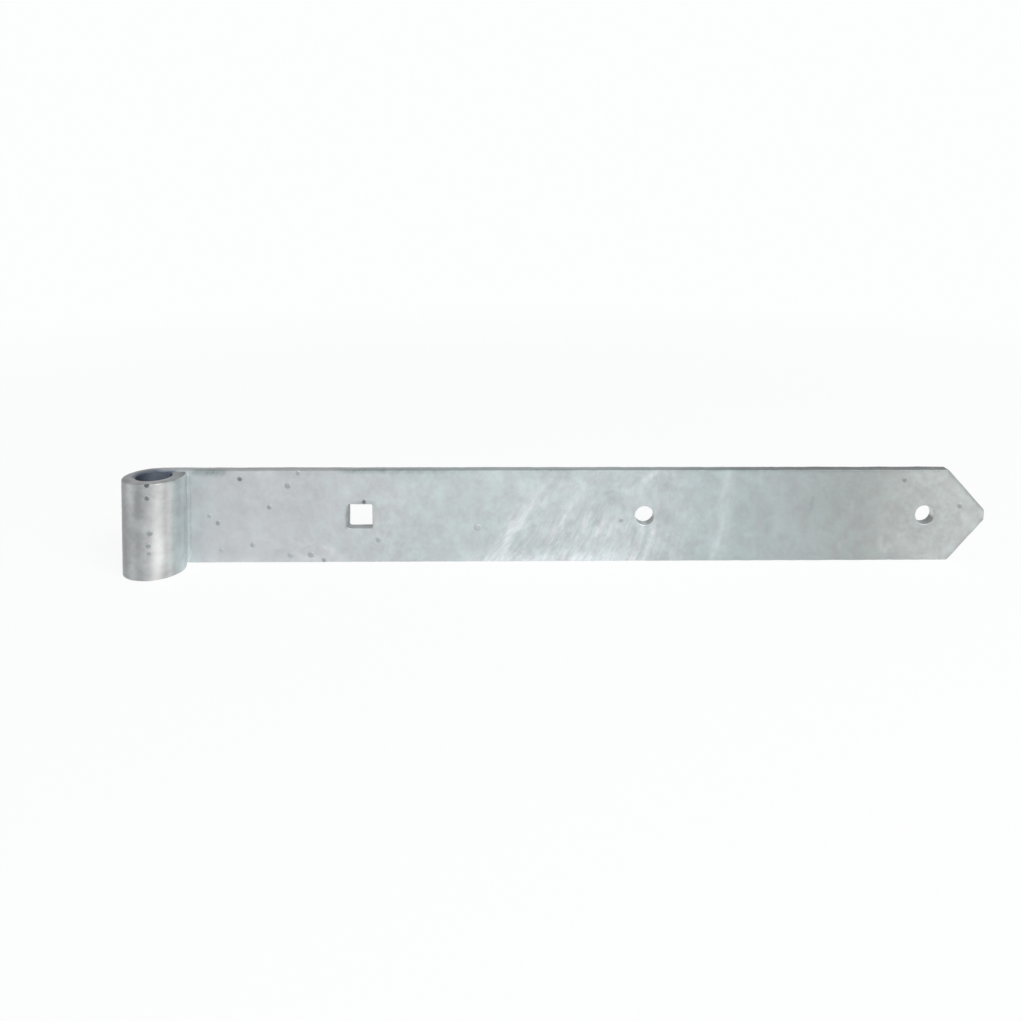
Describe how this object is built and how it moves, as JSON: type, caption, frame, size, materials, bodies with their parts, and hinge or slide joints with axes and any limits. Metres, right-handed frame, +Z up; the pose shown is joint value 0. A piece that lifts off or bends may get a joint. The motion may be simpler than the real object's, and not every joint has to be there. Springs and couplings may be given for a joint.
{
  "type": "shutter strap hinge",
  "caption": "Flat galvanised steel strap hinge, one end rolled into an eye for a pintle pin, the other pointed, pierced with bolt holes for hanging a shutter, door or gate.",
  "frame": {"origin": "on the rolled eye's axis, at the eye's lower end, where it sits on the pintle's collar", "axes": "+X along the strap from the eye to the point, +Y from the side that the eye stands out on to the back of the strap, +Z up along the eye's axis"},
  "size_m": [0.414, 0.028, 0.045],
  "materials": {
    "zinc_coated_steel": "hot-dip galvanised, satin grey with paler streaks and small zinc pimples"
  },
  "bodies": {
    "root": {"strap": "zinc_coated_steel"}
  },
  "joints": []
}
